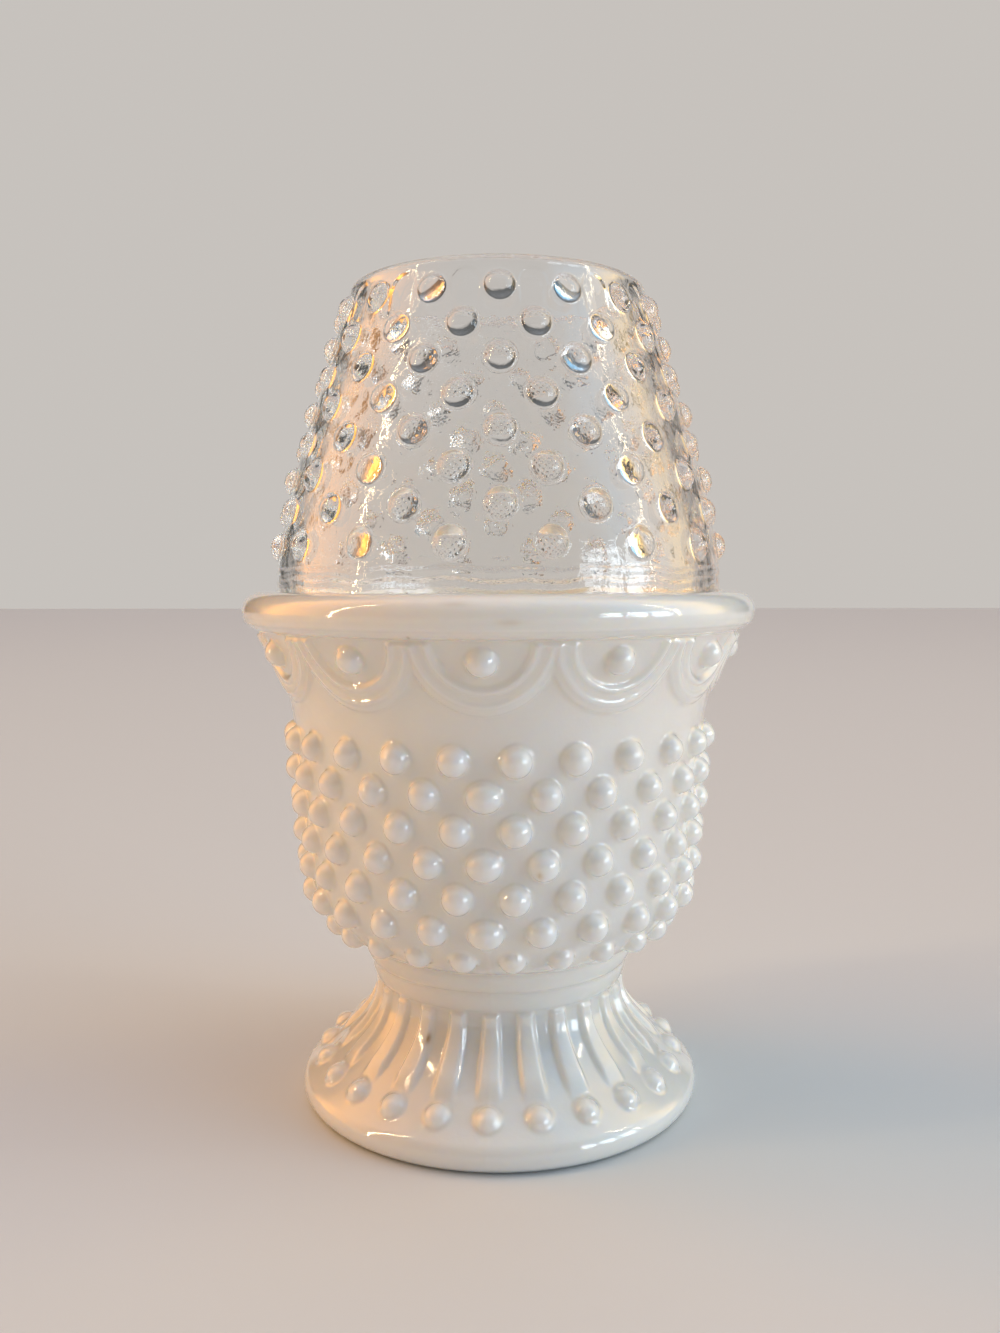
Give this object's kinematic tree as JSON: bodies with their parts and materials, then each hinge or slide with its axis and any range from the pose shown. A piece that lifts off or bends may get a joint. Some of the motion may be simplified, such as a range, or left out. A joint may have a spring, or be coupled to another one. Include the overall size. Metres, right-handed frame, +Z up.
{
  "type": "footed glass server with lift-off shade",
  "caption": "Footed pressed milk-glass urn with hobnails, swags and a ribbed foot, holding a loose clear glass hobnail shade, open at the top, on a ledge inside its rim.",
  "frame": {"origin": "middle of the foot ring, on the surface that the urn stands on", "axes": "+Z up along the axis of both glasses; the front, where the even hobnail rows, a swag and a foot rib line up, is at -Y"},
  "size_m": [0.1282, 0.1282, 0.203],
  "materials": {
    "milk_glass": "glossy opaque white pressed glass",
    "clear_glass": "clear glossy pressed glass"
  },
  "bodies": {
    "urn": {"milk_glass_urn": "milk_glass"},
    "shade": {"clear_glass_shade": "clear_glass"}
  },
  "joints": [
    {"name": "shade_lift", "type": "slide", "parent": "urn", "child": "shade", "axis": [0, 0, 1], "range_m": [0, 0.12]}
  ]
}
